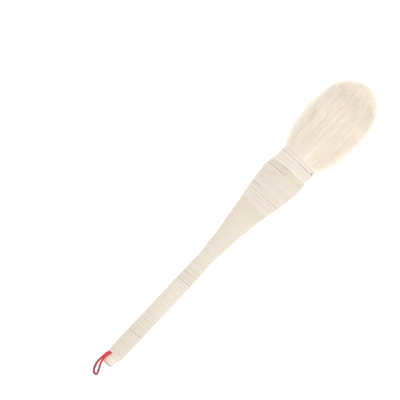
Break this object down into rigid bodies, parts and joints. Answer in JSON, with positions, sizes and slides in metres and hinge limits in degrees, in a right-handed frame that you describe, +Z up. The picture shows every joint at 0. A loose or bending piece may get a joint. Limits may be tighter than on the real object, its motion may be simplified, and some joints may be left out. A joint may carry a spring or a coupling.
{
  "type": "rattan-wound soft-hair brush",
  "caption": "Soft goat-hair brush with an egg-shaped tuft, a swelling handle close-wound in flat cane and a short red hanging loop, lying on its side.",
  "frame": {"origin": "on the table, under the middle of the brush's box (the hanging loop not counted)", "axes": "+X towards the hair, along the brush as it lies; +Z up from the table; +Y completes the frame, on the side where the cord leaves"},
  "size_m": [0.1965, 0.0316, 0.0312],
  "materials": {
    "dowel_wood": "bare, fine straight grain, sanded",
    "cane": "split rattan strip, satin, cream to pinkish straw, fine long fibres",
    "pin_metal": "darkened",
    "goat_hair": "soft undyed hair, creamy white",
    "glue": "set resin",
    "hemp_thread": "waxed thread",
    "red_cord": "twisted, slightly fuzzy"
  },
  "bodies": {
    "handle": {"core_dowel": "dowel_wood", "cane_winding_tail": "cane", "cane_winding_shaft_rear": "cane", "cane_winding_shaft_front": "cane", "cane_winding_flare": "cane", "cane_winding_swell": "cane", "cane_winding_neck": "cane", "cane_winding_collar": "cane", "cane_collar_band": "cane", "strip_end_pin": "pin_metal", "hair_root_bundle": "goat_hair", "glue_plug": "glue", "root_tie_rear": "hemp_thread", "root_tie_middle": "hemp_thread", "root_tie_front": "hemp_thread", "cord_end_lower": "red_cord", "cord_end_upper": "red_cord"},
    "tuft": {"inner_hair_tuft": "goat_hair", "outer_hair_cover": "goat_hair"},
    "loop": {"hanging_cord_loop": "red_cord"}
  },
  "joints": [
    {"name": "tuft_bend", "type": "hinge", "parent": "handle", "child": "tuft", "pos_m": [0.05652, 0.00002, 0.01446], "axis": [0, 0, 1], "range_deg": [-35, 35], "stiffness_Nm_per_rad": 0.02, "deforming": ["inner_hair_tuft", "outer_hair_cover"]},
    {"name": "loop_swing", "type": "hinge", "parent": "handle", "child": "loop", "pos_m": [-0.0886, 0.00284, 0.00518], "axis": [0, 0, -1], "range_deg": [0, 110], "deforming": ["hanging_cord_loop"]}
  ]
}
